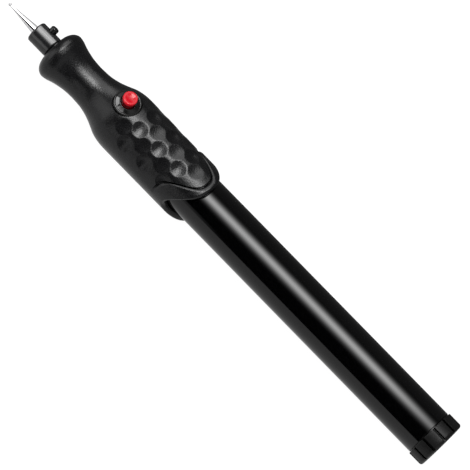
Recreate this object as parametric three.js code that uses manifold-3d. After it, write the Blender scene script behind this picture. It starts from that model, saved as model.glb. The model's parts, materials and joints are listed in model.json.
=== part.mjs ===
// A cordless engraving pen: chuck and bit, motor, soft grip with a push button, two AAA cells and a
// screwed end cap. Millimetres, +Z up. The pen lies along X with its tip towards -X and its button up.
// Every "...At", "...Front" and "...End" below is a distance from the tip of the bit, and heights are
// measured from the pen's own axis.

import * as THREE from "three";
import { mergeVertices } from "three/addons/utils/BufferGeometryUtils.js";
import Module from "manifold-3d";

const wasm = await Module();
wasm.setup();

// Fits shared by all pieces
const fineGap = 0.1;
const slideGap = 0.15;
const seatGap = 0.3;
const cutOverrun = 2;

// Facets round a turned piece
const largeSides = 36;
const mediumSides = 20;
const smallSides = 12;
const wireSides = 6;
const gripColumns = 40;

// Engraving bit
const shankRadius = 1.175;
const bitBallRadius = 0.45;
const bitThroatRadius = 0.28;
const bitThroatAt = 1.1;
const bitConeEnd = 9.88;
const shankShown = 0.8;
const shankHeld = 12;

// Chuck
const chuckHeadLength = 7;
const chuckHeadRadius = 3.2;
const chuckNeckRadius = 2.3;
const chuckChamfer = 0.35;
const chuckWeb = 2;
const chuckSocket = 6.5;

// Clamp screw
const screwSetback = 3.7;
const screwRadius = 1.2;
const screwProud = 1.45;
const screwCorner = 0.3;
const screwAngle = 49;
const hexRadius = 0.65;
const hexDepth = 1;

// Spindle and coupling
const spindleRadius = 1;
const couplingRadius = 2.2;
const couplingRoom = 0.6;
const couplingLength = 3.4;
const couplingChamfer = 0.3;

// Soft grip
const noseGap = 0.3;
const noseDepth = 2.95;
const noseFaceWidth = 1;
const noseHoleRoom = 0.7;
const waistThickness = 3.45;
const lipRise = 1.85;
const waistLength = 10.25;
const gripThickness = 2.07;
const shoulderLength = 15.95;
const gripWall = 1.5;
const gripEdgeRound = 0.9;
const padStep = 0.25;
const padStepWidth = 0.45;
const padSideLength = 18.27;
const padLobe = 9.7;
const padLobeAngle = 40.5;
const padLobeSharpness = 2.8;
const padFadeFrom = 66;
const padFadeTo = 90;
const bandLength = 4.8;
const bandLobe = 7.3;
const bandLobeSharpness = 3;
const dimpleSoftness = 1.3;

// Share of the way from lip to waist, and share of the rise left there
const noseShares = [[0.14, 0.86], [0.3, 0.56], [0.46, 0.33], [0.63, 0.145], [0.8, 0.04], [1, 0]];
// Share of the way from waist to full grip, and share of the rise reached there
const shoulderShares = [
  [0.18, 0.045], [0.285, 0.118], [0.39, 0.238], [0.494, 0.4], [0.598, 0.6],
  [0.703, 0.796], [0.807, 0.916], [0.911, 0.98], [1, 1],
];

// Finger dimples, in rows round the grip
const dimpleRadius = 2.3;
const dimplePitch = 7.47;
const dimpleSink = 0.55;
const dimplesInRow = 3;
// Each row's angle from the top, the share of a pitch to its first dimple, and its share of the full depth
const dimpleRows = [
  { angle: 0, startShare: 1.16, depthShare: 0.6 },
  { angle: 18.2, startShare: 0.66, depthShare: 1 },
  { angle: 35, startShare: 0.16, depthShare: 0.64 },
  { angle: 54, startShare: 0.66, depthShare: 0.4 },
];

// Hard housing under the grip
const housingWall = 1.1;
const splitGap = 0.1;
const spigotLength = 2.9;
const spigotWall = 1.1;

// Front bush
const bushWall = 1.55;
const bushLength = 5;
const bushChamfer = 0.3;

// Battery tube
const tubeSetback = 1.4;
const tubeWall = 1.45;
const tubeEdge = 0.25;
const neckLength = 2.5;
const neckWall = 0.5;

// Thread between tube and cap
const threadPitch = 1.4;
const threadHeight = 0.38;
const threadCrestWidth = 0.3;
const threadRootWidth = 0.7;
const threadSteps = 20;
const threadStart = 0.6;

// End cap
const capLength = 4.8;
const capProud = 0.4;
const capFloor = 1.4;
const capEdgeRound = 0.8;
const capLine = 0.12;
const capGrooves = 12;
const capGrooveWidth = 0.45;
const capGrooveDepth = 0.28;
const capGroovePhase = 10;

// Motor
const motorRoom = 0.5;
const motorFlatDepth = 1;
const motorWall = 0.5;
const motorShaftRadius = 0.75;
const motorBushRadius = 1.5;
const motorBushLength = 1.75;
const bellLength = 1.7;
const magnetThickness = 1.2;
const magnetHalfAngle = 38;
const magnetOverhang = 1;
const armatureRadius = 3.05;
const armatureLength = 9;
const armatureRoom = 0.8;
const armatureHub = 1.35;
const shoeThickness = 0.55;
const shoeHalfAngle = 46;
const poleHalfWidth = 0.6;
const windingHalfWidth = 1.35;
const windingOverhang = 0.7;
const commutatorRadius = 1.3;
const commutatorLength = 2.3;
const commutatorRoom = 0.35;
const brushThickness = 0.3;
const brushHeight = 1.6;
const brushTail = 2;

// Battery cells, AAA size
const cellRadius = 5.25;
const cellRoom = 0.55;
const cellLength = 44.5;
const nubRadius = 1.9;
const nubHeight = 0.8;
const cellRim = 0.35;

// Contacts between motor and cells
const wiringRoom = 2.8;
const carrierThickness = 1.4;
const contactRadius = 2.6;
const contactThickness = 0.4;
const tabWidth = 1.6;
const tabThickness = 0.6;
const stripWidth = 2;
const stripThickness = 0.2;
const stripFold = 0.55;

// Tail spring and contact
const tailContactThickness = 0.3;
const tailWireRadius = 0.3;
const tailSpringRadius = 3.6;
const tailSpringRoom = 4.87;
const tailCurls = 4;

// Switch and button, on an upright axis of their own
const buttonSetback = 2.93;
const bezelRadius = 4;
const bezelHeight = 2.24;
const bezelProud = 0.55;
const bezelSlope = 0.45;
const bezelRound = 0.4;
const buttonRadius = 2.2;
const buttonProud = 2.6;
const buttonRound = 0.35;
const buttonDish = 0.2;
const buttonFlange = 0.2;
const buttonFlangeHeight = 0.6;
const buttonTravel = 1.2;
const stemRadius = 0.8;
const stemLength = 1.5;
const switchRadius = 3.2;
const switchWall = 0.45;
const switchRoom = 1;
const switchFloor = 0.7;
const bridgeRadius = 1.5;
const bridgeThickness = 0.35;
const pinOffset = 1.25;
const pinThickness = 0.3;
const pinWidth = 1.2;
const pinTail = 0.5;
const buttonWireRadius = 0.15;
const buttonCurls = 4;

// Wires
const wireRadius = 0.45;

// Colours and finishes
const finish = (color, roughness, metalness) => () =>
  new THREE.MeshStandardMaterial({ color, roughness, metalness });
const softBlack = finish(0x17171a, 0.55, 0);
const hardBlack = finish(0x202022, 0.5, 0);
const glossBlack = finish(0x0a0a0b, 0.12, 0);
const satinBlack = finish(0x151516, 0.35, 0);
const steel = finish(0xb8bbc0, 0.25, 1);
const darkMetal = finish(0x121214, 0.3, 0.8);
const brass = finish(0xb58a3c, 0.3, 1);
const bronze = finish(0x8f6a3a, 0.4, 1);
const aluminium = finish(0xc4c7cc, 0.35, 1);
const ferrite = finish(0x2c2a2a, 0.8, 0);
const copper = finish(0x9c4a22, 0.35, 1);
const red = finish(0xd8141c, 0.25, 0);
const redWire = finish(0xb01418, 0.5, 0);
const blackWire = finish(0x111111, 0.5, 0);
const paleJacket = finish(0x7f8a92, 0.3, 0.2);

// Radii that follow from the sizes above
const radians = THREE.MathUtils.degToRad;
const tubeInner = cellRadius + cellRoom;
const tubeRadius = tubeInner + tubeWall;
const neckRadius = tubeInner + neckWall;
const capRadius = tubeRadius + capProud;
const capBore = neckRadius + threadHeight + seatGap;
const screwTop = chuckHeadRadius + screwProud;
const gripRadius = tubeRadius + gripThickness;
const waistRadius = chuckNeckRadius + waistThickness;
const lipRadius = waistRadius + lipRise;
const noseHoleRadius = chuckNeckRadius + noseHoleRoom;
const noseFaceRadius = noseHoleRadius + noseFaceWidth;
const motorRadius = tubeInner - motorRoom;
const motorFlat = motorRadius - motorFlatDepth;
const bushBore = chuckNeckRadius + slideGap;
const bushRadius = bushBore + bushWall;

// Places along the pen, from the tip to the cap
const chuckFront = bitConeEnd + shankShown;
const bitEnd = chuckFront + shankHeld;
const bitBoreEnd = bitEnd + seatGap;
const screwAt = chuckFront + screwSetback;
const chuckHeadEnd = chuckFront + chuckHeadLength;
const chuckEnd = bitEnd + chuckWeb + chuckSocket;
const spindleFront = bitBoreEnd + chuckWeb + seatGap;
const noseFront = chuckHeadEnd + noseGap;
const lipAt = noseFront + noseDepth;
const waistAt = lipAt + waistLength;
const shoulderEnd = waistAt + shoulderLength;
const padSideEnd = shoulderEnd + padSideLength;
const bandSideEnd = padSideEnd + bandLength;
const bushFront = noseFront + gripWall + seatGap;
const bushEnd = bushFront + bushLength;
const buttonAt = shoulderEnd - buttonSetback;
const tubeFront = shoulderEnd + tubeSetback;
const spigotEnd = tubeFront + spigotLength;
const motorFront = spigotEnd + seatGap;
const spindleEnd = motorFront - couplingRoom - couplingLength / 2;
const shaftFront = spindleEnd + seatGap;
const armatureFront = motorFront + motorBushLength + armatureRoom + windingOverhang;
const armatureEnd = armatureFront + armatureLength;
const commutatorFront = armatureEnd + windingOverhang + commutatorRoom;
const commutatorEnd = commutatorFront + commutatorLength;
const motorEnd = commutatorEnd - fineGap;
const bellEnd = motorEnd + seatGap + bellLength;
const carrierAt = bellEnd + wiringRoom;
const stripFront = bellEnd + wiringRoom / 2;
const contactFront = carrierAt + carrierThickness + fineGap;
const frontCellAt = contactFront + contactThickness + seatGap;
const rearCellAt = frontCellAt + cellLength + seatGap;
const rearCellEnd = rearCellAt + cellLength;
const tailContactFront = rearCellEnd + tailSpringRoom;
const capInnerEnd = tailContactFront + tailContactThickness + fineGap;
const penLength = capInnerEnd + capFloor;
const tubeEnd = penLength - capLength;
const capFront = tubeEnd + capLine;
const neckEnd = tubeEnd + neckLength;

// Solids: merged points, no empty triangles, faces out
function closedMesh(geometry) {
  const bare = geometry.clone();
  bare.deleteAttribute("normal");
  bare.deleteAttribute("uv");
  const merged = mergeVertices(bare);
  const place = merged.attributes.position;
  const index = merged.index.array;
  const kept = [];
  const a = new THREE.Vector3();
  const b = new THREE.Vector3();
  const c = new THREE.Vector3();
  let volume = 0;
  for (let i = 0; i < index.length; i += 3) {
    const [p, q, r] = [index[i], index[i + 1], index[i + 2]];
    if (p === q || q === r || r === p) continue;
    kept.push(p, q, r);
    a.fromBufferAttribute(place, p);
    b.fromBufferAttribute(place, q);
    c.fromBufferAttribute(place, r);
    volume += a.dot(b.cross(c));
  }
  if (volume < 0) {
    for (let i = 0; i < kept.length; i += 3) [kept[i], kept[i + 1]] = [kept[i + 1], kept[i]];
  }
  merged.setIndex(kept);
  return merged;
}

function toSolid(geometry) {
  const mesh = closedMesh(geometry);
  return new wasm.Manifold(
    new wasm.Mesh({
      numProp: 3,
      vertProperties: new Float32Array(mesh.attributes.position.array),
      triVerts: new Uint32Array(mesh.index.array),
    }),
  );
}

function fromSolid(solid) {
  const mesh = solid.getMesh();
  const geometry = new THREE.BufferGeometry();
  geometry.setAttribute("position", new THREE.BufferAttribute(new Float32Array(mesh.vertProperties), 3));
  geometry.setIndex(Array.from(mesh.triVerts));
  return geometry;
}

function cut(body, ...tools) {
  return fromSolid(tools.reduce((left, tool) => left.subtract(toSolid(tool)), toSolid(body)));
}

function join(body, ...others) {
  return fromSolid(others.reduce((whole, other) => whole.add(toSolid(other)), toSolid(body)));
}

function common(body, other) {
  return fromSolid(toSolid(body).intersect(toSolid(other)));
}

// A piece turned about the pen's axis, with a flat facet on top and below. The profile is a list of
// [distance from the tip, radius].
function turned(profile, sides = mediumSides) {
  const points = profile.map(([along, radius]) => new THREE.Vector2(radius, along));
  const lathe = new THREE.LatheGeometry(points, sides);
  lathe.rotateY(Math.PI / sides);
  lathe.rotateZ(-Math.PI / 2);
  return closedMesh(lathe);
}

// A piece turned about the button's upright axis. The profile is a list of [height, radius].
function upright(profile, sides = mediumSides) {
  const points = profile.map(([height, radius]) => new THREE.Vector2(radius, height));
  const lathe = new THREE.LatheGeometry(points, sides);
  lathe.rotateX(Math.PI / 2);
  lathe.translate(buttonAt, 0, 0);
  return closedMesh(lathe);
}

function block(front, end, left, right, low, high) {
  const box = new THREE.BoxGeometry(end - front, right - left, high - low);
  box.translate((front + end) / 2, (left + right) / 2, (low + high) / 2);
  return box;
}

// A flat outline in the pen's cross-section, drawn out along the pen
function drawnOut(shape, front, end) {
  const geometry = new THREE.ExtrudeGeometry(shape, {
    depth: end - front,
    bevelEnabled: false,
    curveSegments: smallSides,
  });
  const across = new THREE.Vector3(0, 1, 0);
  const up = new THREE.Vector3(0, 0, 1);
  const along = new THREE.Vector3(1, 0, 0);
  geometry.applyMatrix4(new THREE.Matrix4().makeBasis(across, up, along));
  geometry.translate(front, 0, 0);
  return closedMesh(geometry);
}

function polarShape(points) {
  return new THREE.Shape(
    points.map(([radius, angle]) => new THREE.Vector2(radius * Math.cos(angle), radius * Math.sin(angle))),
  );
}

function roundShape(radius, sides) {
  return polarShape(Array.from({ length: sides }, (_, i) => [radius, (i / sides) * 2 * Math.PI]));
}

function along(curve, radius, sides, steps) {
  return closedMesh(
    new THREE.ExtrudeGeometry(roundShape(radius, sides), { steps, bevelEnabled: false, extrudePath: curve }),
  );
}

// A grid of rings that closes on itself: rings[row][column] is a point
function closedGrid(rings) {
  const rows = rings.length;
  const columns = rings[0].length;
  const index = [];
  for (let row = 0; row < rows; row += 1) {
    for (let column = 0; column < columns; column += 1) {
      const right = (column + 1) % columns;
      const next = (row + 1) % rows;
      const corner = (r, c) => r * columns + c;
      index.push(corner(row, column), corner(next, column), corner(next, right));
      index.push(corner(row, column), corner(next, right), corner(row, right));
    }
  }
  const geometry = new THREE.BufferGeometry().setFromPoints(rings.flat());
  geometry.setIndex(index);
  return closedMesh(geometry);
}

// A helical rib round the pen's axis, from its foot radius to its crest radius
function threadRib(foot, crest, front, turns) {
  const steps = Math.round(turns * threadSteps);
  const footHalf = threadRootWidth / 2;
  const crestHalf = threadCrestWidth / 2;
  const section = [[foot, -footHalf], [crest, -crestHalf], [crest, crestHalf], [foot, footHalf]];
  const points = [];
  const index = [];
  for (let step = 0; step <= steps; step += 1) {
    const turn = step / threadSteps;
    const angle = turn * 2 * Math.PI;
    for (const [radius, shift] of section) {
      const place = front + turn * threadPitch + shift;
      points.push(new THREE.Vector3(place, -radius * Math.sin(angle), radius * Math.cos(angle)));
    }
  }
  const count = section.length;
  for (let step = 0; step < steps; step += 1) {
    for (let side = 0; side < count; side += 1) {
      const here = step * count + side;
      const beside = step * count + ((side + 1) % count);
      index.push(here, beside, beside + count, here, beside + count, here + count);
    }
  }
  const last = steps * count;
  index.push(0, 2, 1, 0, 3, 2, last, last + 1, last + 2, last, last + 2, last + 3);
  const geometry = new THREE.BufferGeometry().setFromPoints(points);
  geometry.setIndex(index);
  return closedMesh(geometry);
}

class Helix extends THREE.Curve {
  constructor(radius, length, curls, place) {
    super();
    Object.assign(this, { radius, length, curls, place });
  }

  getPoint(t, target = new THREE.Vector3()) {
    const angle = t * this.curls * 2 * Math.PI;
    const [x, y] = [this.radius * Math.cos(angle), this.radius * Math.sin(angle)];
    return target.copy(this.place(this.length * t, x, y));
  }
}

// A wound spring of round wire, with the least gap between its curls measured on points and printed
function spring(name, helix, wire, curls) {
  const stepsPerCurl = 8;
  const steps = stepsPerCurl * curls;
  const points = helix.getPoints(steps);
  let least = Infinity;
  for (let i = 0; i < points.length; i += 1) {
    for (let j = i + stepsPerCurl / 2; j < points.length; j += 1) {
      least = Math.min(least, points[i].distanceTo(points[j]) - 2 * wire);
    }
  }
  console.log(`${name}: least gap between curls ${least.toFixed(2)} mm`);
  return along(helix, wire, 5, steps);
}

// The grip's round form, before its dimples
function smooth(table, share) {
  const after = table.findIndex(([place]) => place >= share);
  if (after <= 0) return table[0][1];
  const [x1, y1] = table[after - 1];
  const [x2, y2] = table[after];
  const [x0, y0] = table[Math.max(after - 2, 0)];
  const [x3, y3] = table[Math.min(after + 1, table.length - 1)];
  const width = x2 - x1;
  const slope1 = ((y2 - y0) / (x2 - x0)) * width;
  const slope2 = ((y3 - y1) / (x3 - x1)) * width;
  const s = (share - x1) / width;
  const rise = y2 - y1;
  return y1 + s * (slope1 + s * (3 * rise - 2 * slope1 - slope2 + s * (slope1 + slope2 - 2 * rise)));
}

function gripBase(at) {
  if (at <= lipAt) {
    const share = Math.min((lipAt - at) / noseDepth, 1);
    return noseFaceRadius + (lipRadius - noseFaceRadius) * Math.sqrt(1 - share * share);
  }
  if (at <= waistAt) {
    const share = (at - lipAt) / (waistAt - lipAt);
    return waistRadius + (lipRadius - waistRadius) * smooth([[0, 1], ...noseShares], share);
  }
  const share = Math.min((at - waistAt) / (shoulderEnd - waistAt), 1);
  return waistRadius + (gripRadius - waistRadius) * smooth([[0, 0], ...shoulderShares], share);
}

function gripInner(at) {
  return Math.min(gripBase(at) - gripWall, tubeRadius + slideGap);
}

// The rear edge runs further back on the top and the bottom than on the sides
function gripEnd(angle) {
  return bandSideEnd + bandLobe * (1 - Math.abs(Math.sin(angle)) ** bandLobeSharpness);
}

function degreesFromTop(angle) {
  return Math.abs(THREE.MathUtils.radToDeg(Math.atan2(Math.sin(angle), Math.cos(angle))));
}

function padEnd(angle) {
  return padSideEnd + padLobe * Math.exp(-((degreesFromTop(angle) / padLobeAngle) ** padLobeSharpness));
}

// The pad sinks towards its rear edge, and its step fades out down the sides
function padSunk(at, angle) {
  const fade = 1 - THREE.MathUtils.smoothstep(degreesFromTop(angle), padFadeFrom, padFadeTo);
  return fade * padStep * THREE.MathUtils.smoothstep(at, shoulderEnd, padEnd(angle));
}

function dimpleDepth(at, angle) {
  let depth = 0;
  for (const row of dimpleRows) {
    for (const side of row.angle ? [-1, 1] : [1]) {
      const turn = angle - side * radians(row.angle);
      const across = Math.atan2(Math.sin(turn), Math.cos(turn)) * gripRadius;
      for (let i = 0; i < dimplesInRow; i += 1) {
        const away = at - shoulderEnd - (row.startShare + i) * dimplePitch;
        const reach = Math.min(Math.hypot(away, across) / dimpleRadius, 1);
        depth = Math.max(depth, dimpleSink * row.depthShare * (1 - reach * reach) ** dimpleSoftness);
      }
    }
  }
  return depth;
}

// The whole pen, raised so that the flat under its grip lies at height 0
const pen = new THREE.Group();
pen.position.set(-penLength / 2, 0, gripRadius * Math.cos(Math.PI / gripColumns));

function piece(name, geometry, material) {
  const mesh = new THREE.Mesh(geometry, material());
  mesh.name = name;
  pen.add(mesh);
}

// Engraving bit: ball, throat, long taper and straight shank
function engravingBit() {
  const ballSteps = 5;
  const throatAngle = Math.asin(bitThroatRadius / bitBallRadius);
  const profile = [];
  for (let i = 0; i <= ballSteps; i += 1) {
    const angle = (i / ballSteps) * (Math.PI - throatAngle);
    profile.push([bitBallRadius * (1 - Math.cos(angle)), i ? bitBallRadius * Math.sin(angle) : 0]);
  }
  profile.push([bitThroatAt, bitThroatRadius], [bitConeEnd, shankRadius]);
  profile.push([bitEnd - slideGap, shankRadius], [bitEnd, shankRadius - slideGap], [bitEnd, 0]);
  return turned(profile, smallSides);
}

function chuck() {
  const bore = shankRadius + slideGap;
  const spindleBore = spindleRadius + slideGap;
  const webEnd = bitBoreEnd + chuckWeb;
  const hole = screwRadius + slideGap;
  const body = turned([
    [bitBoreEnd, 0], [bitBoreEnd, bore], [chuckFront, bore],
    [chuckFront, chuckHeadRadius - chuckChamfer], [chuckFront + chuckChamfer, chuckHeadRadius],
    [chuckHeadEnd - chuckChamfer, chuckHeadRadius], [chuckHeadEnd, chuckHeadRadius - chuckChamfer],
    [chuckHeadEnd, chuckNeckRadius], [chuckEnd - chuckChamfer, chuckNeckRadius],
    [chuckEnd, chuckNeckRadius - chuckChamfer], [chuckEnd, spindleBore],
    [webEnd, spindleBore], [webEnd, 0],
  ]);
  return cut(body, onScrewAxis([[bore / 2, 0], [bore / 2, hole], [screwTop, hole], [screwTop, 0]]));
}

// A piece turned about the clamp screw's axis. The profile is a list of [distance from the pen's axis, radius].
function onScrewAxis(profile, sides = smallSides) {
  const points = profile.map(([reach, radius]) => new THREE.Vector2(radius, reach));
  const lathe = new THREE.LatheGeometry(points, sides);
  lathe.rotateX(Math.PI / 2 - radians(screwAngle));
  lathe.translate(screwAt, 0, 0);
  return closedMesh(lathe);
}

function clampScrew() {
  const foot = shankRadius + seatGap;
  const body = onScrewAxis([
    [foot, 0], [foot, screwRadius - screwCorner], [foot + screwCorner, screwRadius],
    [screwTop - screwCorner, screwRadius], [screwTop, screwRadius - screwCorner], [screwTop, 0],
  ]);
  const floor = screwTop - hexDepth;
  const roof = screwTop + cutOverrun;
  return cut(body, onScrewAxis([[floor, 0], [floor, hexRadius], [roof, hexRadius], [roof, 0]], 6));
}

function ring(front, end, inner, outer, chamfer, sides = mediumSides) {
  return turned([
    [front, inner], [front, outer - chamfer], [front + chamfer, outer],
    [end - chamfer, outer], [end, outer - chamfer], [end, inner], [front, inner],
  ], sides);
}

// A ring that fits the motor's shaft
function motorRing(front, end, outer) {
  return ring(front, end, motorShaftRadius + fineGap, outer, fineGap, smallSides);
}

function rod(front, end, radius, chamfer, sides = smallSides) {
  return turned([
    [front, 0], [front, radius - chamfer], [front + chamfer, radius],
    [end - chamfer, radius], [end, radius - chamfer], [end, 0],
  ], sides);
}

function shaftCoupling() {
  const front = spindleEnd - couplingLength / 2;
  const end = front + couplingLength;
  const middle = spindleEnd + seatGap / 2;
  return turned([
    [front, spindleRadius + fineGap], [front, couplingRadius - couplingChamfer],
    [front + couplingChamfer, couplingRadius], [end - couplingChamfer, couplingRadius],
    [end, couplingRadius - couplingChamfer], [end, motorShaftRadius + fineGap],
    [middle, motorShaftRadius + fineGap], [middle, spindleRadius + fineGap], [front, spindleRadius + fineGap],
  ]);
}

// Places along the inside of the grip, which the housing under it follows
const insideFrontShares = [0, 0.3, 0.6];
const insideRearShares = [0, 0.2, 0.4, 0.6, 0.8, 1];
const insidePlaces = [
  ...insideFrontShares.map((share) => THREE.MathUtils.lerp(lipAt, waistAt, share)),
  ...insideRearShares.map((share) => THREE.MathUtils.lerp(waistAt, shoulderEnd, share)),
];

// Grip: rings of points from the nose to the wavy rear edge and back along the inside
function gripOutline(angle) {
  const outline = [[noseFront, noseHoleRadius], [noseFront, noseFaceRadius]];
  const noseSteps = 4;
  for (let i = 1; i <= noseSteps; i += 1) {
    const turn = (i / noseSteps) * (Math.PI / 2);
    const at = lipAt - noseDepth * Math.cos(turn);
    outline.push([at, gripBase(at)]);
  }
  for (const [share] of noseShares) outline.push([lipAt + share * (waistAt - lipAt)]);
  for (const [share] of shoulderShares) outline.push([waistAt + share * (shoulderEnd - waistAt)]);
  const pad = padEnd(angle);
  const padRows = 14;
  for (let i = 1; i <= padRows; i += 1) outline.push([THREE.MathUtils.lerp(shoulderEnd, pad, i / padRows)]);
  for (let i = 1; i < outline.length; i += 1) {
    const [at] = outline[i];
    outline[i][1] = gripBase(at) - dimpleDepth(at, angle) - padSunk(at, angle);
  }
  const band = pad + padStepWidth;
  const edge = gripEnd(angle);
  outline.push([band, gripRadius], [(band + edge - gripEdgeRound) / 2, gripRadius]);
  const edgeSteps = 3;
  for (let i = 0; i <= edgeSteps; i += 1) {
    const turn = (i / edgeSteps) * (Math.PI / 2);
    outline.push([
      edge - gripEdgeRound * (1 - Math.sin(turn)),
      gripRadius - gripEdgeRound * (1 - Math.cos(turn)),
    ]);
  }
  outline.push([edge, tubeRadius + slideGap]);
  for (const at of insidePlaces.toReversed()) outline.push([at, gripInner(at)]);
  const wallEnd = noseFront + gripWall;
  outline.push([wallEnd, gripInner(wallEnd)], [wallEnd, noseHoleRadius]);
  return outline;
}

function gripSleeve() {
  const outlines = Array.from({ length: gripColumns }, (_, i) => {
    const angle = ((i + 0.5) / gripColumns) * 2 * Math.PI;
    return gripOutline(angle).map(
      ([at, radius]) => new THREE.Vector3(at, -radius * Math.sin(angle), radius * Math.cos(angle)),
    );
  });
  const rings = outlines[0].map((_, row) => outlines.map((outline) => outline[row]));
  const well = bezelRadius + slideGap;
  const floor = switchBottom;
  const roof = buttonTop + cutOverrun;
  return cut(closedGrid(rings), upright([[floor, 0], [floor, well], [roof, well], [roof, 0]]));
}

// Hard housing: a turned shell with a seat for the bush, a spigot for the tube and a well for the switch
function housingOuter(at) {
  return gripInner(at) - slideGap;
}

function housingShell() {
  const front = noseFront + gripWall + slideGap;
  const flangeEnd = tubeFront - seatGap;
  const outer = [front, ...insidePlaces, flangeEnd].map((at) => [at, housingOuter(at)]);
  const spigot = tubeInner - slideGap;
  const bushSeat = bushRadius + fineGap;
  const webEnd = bushEnd + seatGap + housingWall;
  const innerShares = [1, 0.8, 0.6, 0.4, 0.2, 0];
  const inner = innerShares.map((share) => {
    const at = THREE.MathUtils.lerp(webEnd, flangeEnd - housingWall, share);
    return [at, housingOuter(at) - housingWall];
  });
  const hollow = spigot - spigotWall;
  const shell = turned([
    ...outer, [flangeEnd, spigot], [spigotEnd, spigot], [spigotEnd, hollow], [inner[0][0], hollow],
    ...inner, [webEnd, bushBore], [bushEnd + seatGap, bushBore],
    [bushEnd + seatGap, bushSeat], [front, bushSeat], outer[0],
  ], largeSides);
  const well = switchRadius + slideGap;
  const roof = buttonTop + cutOverrun;
  const wireSlot = wireRadius + seatGap;
  const slotFront = flangeEnd - housingWall - cutOverrun;
  return cut(
    shell,
    upright([[switchBottom, 0], [switchBottom, well], [roof, well], [roof, 0]]),
    block(slotFront, spigotEnd + cutOverrun, hollow - wireSlot, tubeRadius, -wireSlot, wireSlot),
    block(slotFront, spigotEnd + cutOverrun, -tubeRadius, wireSlot - hollow, -wireSlot, wireSlot),
  );
}

function housingHalf(side) {
  const far = gripRadius + cutOverrun;
  const half = side > 0 ? [splitGap, far] : [-far, -splitGap];
  return common(housingShell(), block(0, penLength, ...half, -far, far));
}

function batteryTube() {
  const body = turned([
    [tubeFront, tubeInner], [tubeFront, tubeRadius - tubeEdge], [tubeFront + tubeEdge, tubeRadius],
    [tubeEnd - tubeEdge, tubeRadius], [tubeEnd, tubeRadius - tubeEdge], [tubeEnd, neckRadius],
    [neckEnd, neckRadius], [neckEnd, tubeInner], [tubeFront, tubeInner],
  ], largeSides);
  const crest = neckRadius + threadHeight;
  return join(body, threadRib(neckRadius - threadHeight / 2, crest, tubeEnd + threadStart, 1));
}

function endCap() {
  const round = [];
  const roundSteps = 4;
  for (let i = 0; i <= roundSteps; i += 1) {
    const turn = (i / roundSteps) * (Math.PI / 2);
    round.push([
      penLength - capEdgeRound * (1 - Math.sin(turn)),
      capRadius - capEdgeRound * (1 - Math.cos(turn)),
    ]);
  }
  const body = turned([
    [capInnerEnd, 0], [capInnerEnd, capBore], [capFront, capBore], [capFront, capRadius - capLine],
    [capFront + capLine, capRadius], ...round, [penLength, 0],
  ], largeSides);
  const grooves = Array.from({ length: capGrooves }, (_, i) => {
    const half = capGrooveWidth / 2;
    const groove = block(
      capFront - cutOverrun, penLength + cutOverrun, -half, half,
      capRadius - capGrooveDepth, capRadius + cutOverrun,
    );
    return groove.rotateX(radians(capGroovePhase + (i / capGrooves) * 360));
  });
  const crest = capBore - threadHeight - fineGap;
  const rib = threadRib(capBore + threadHeight / 2, crest, tubeEnd + threadStart - threadPitch / 2, 1);
  rib.translate(threadPitch / 2, 0, 0);
  rib.rotateX(Math.PI);
  return join(cut(body, ...grooves), rib);
}

// Motor: a can with two flats, closed in front, and a bell that closes its rear
function withFlats(geometry, flat) {
  const far = motorRadius + cutOverrun;
  return common(geometry, block(0, penLength, -flat, flat, -far, far));
}

function motorCan() {
  const shell = withFlats(rod(motorFront, motorEnd, motorRadius, fineGap, largeSides), motorFlat);
  const front = motorFront + motorWall;
  const end = motorEnd + cutOverrun;
  const inner = motorRadius - motorWall;
  const cavity = withFlats(
    turned([[front, 0], [front, inner], [end, inner], [end, 0]], largeSides),
    motorFlat - motorWall,
  );
  const hole = motorBushRadius + fineGap;
  const holeFront = motorFront - cutOverrun;
  return cut(shell, cavity, turned([[holeFront, 0], [holeFront, hole], [end, hole], [end, 0]], smallSides));
}

function magnet(turn) {
  const outer = motorRadius - motorWall - fineGap;
  const inner = outer - magnetThickness;
  const half = radians(magnetHalfAngle);
  const steps = 8;
  const points = [];
  for (let i = 0; i <= steps; i += 1) points.push([outer, Math.PI / 2 - half + (i / steps) * 2 * half]);
  for (let i = steps; i >= 0; i -= 1) points.push([inner, Math.PI / 2 - half + (i / steps) * 2 * half]);
  const shape = polarShape(points);
  return drawnOut(shape, armatureFront - magnetOverhang, armatureEnd + magnetOverhang).rotateX(turn);
}

function armatureCore() {
  const inner = armatureRadius - shoeThickness;
  const half = radians(shoeHalfAngle);
  const neck = Math.asin(poleHalfWidth / inner);
  const foot = Math.asin(poleHalfWidth / armatureHub);
  const points = [];
  for (let pole = 0; pole < 3; pole += 1) {
    const middle = (pole / 3) * 2 * Math.PI;
    points.push([armatureHub, middle - foot], [inner, middle - neck], [inner, middle - half]);
    for (let i = -2; i <= 2; i += 1) points.push([armatureRadius, middle + (i / 2) * half]);
    points.push([inner, middle + half], [inner, middle + neck], [armatureHub, middle + foot]);
  }
  const shape = polarShape(points);
  const hole = roundShape(motorShaftRadius + fineGap, smallSides);
  shape.holes.push(hole);
  return drawnOut(shape, armatureFront, armatureEnd);
}

function winding(number) {
  const low = armatureHub + fineGap;
  const high = Math.sqrt((armatureRadius - shoeThickness) ** 2 - windingHalfWidth ** 2) - 2 * fineGap;
  const inside = poleHalfWidth + fineGap;
  const front = armatureFront - windingOverhang;
  const end = armatureEnd + windingOverhang;
  const coil = cut(
    block(front, end, low, high, -windingHalfWidth, windingHalfWidth),
    block(armatureFront - fineGap, armatureEnd + fineGap, 0, armatureRadius, -inside, inside),
  );
  return coil.rotateX((number / 3) * 2 * Math.PI);
}

const brushInner = commutatorRadius + slideGap;

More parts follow.
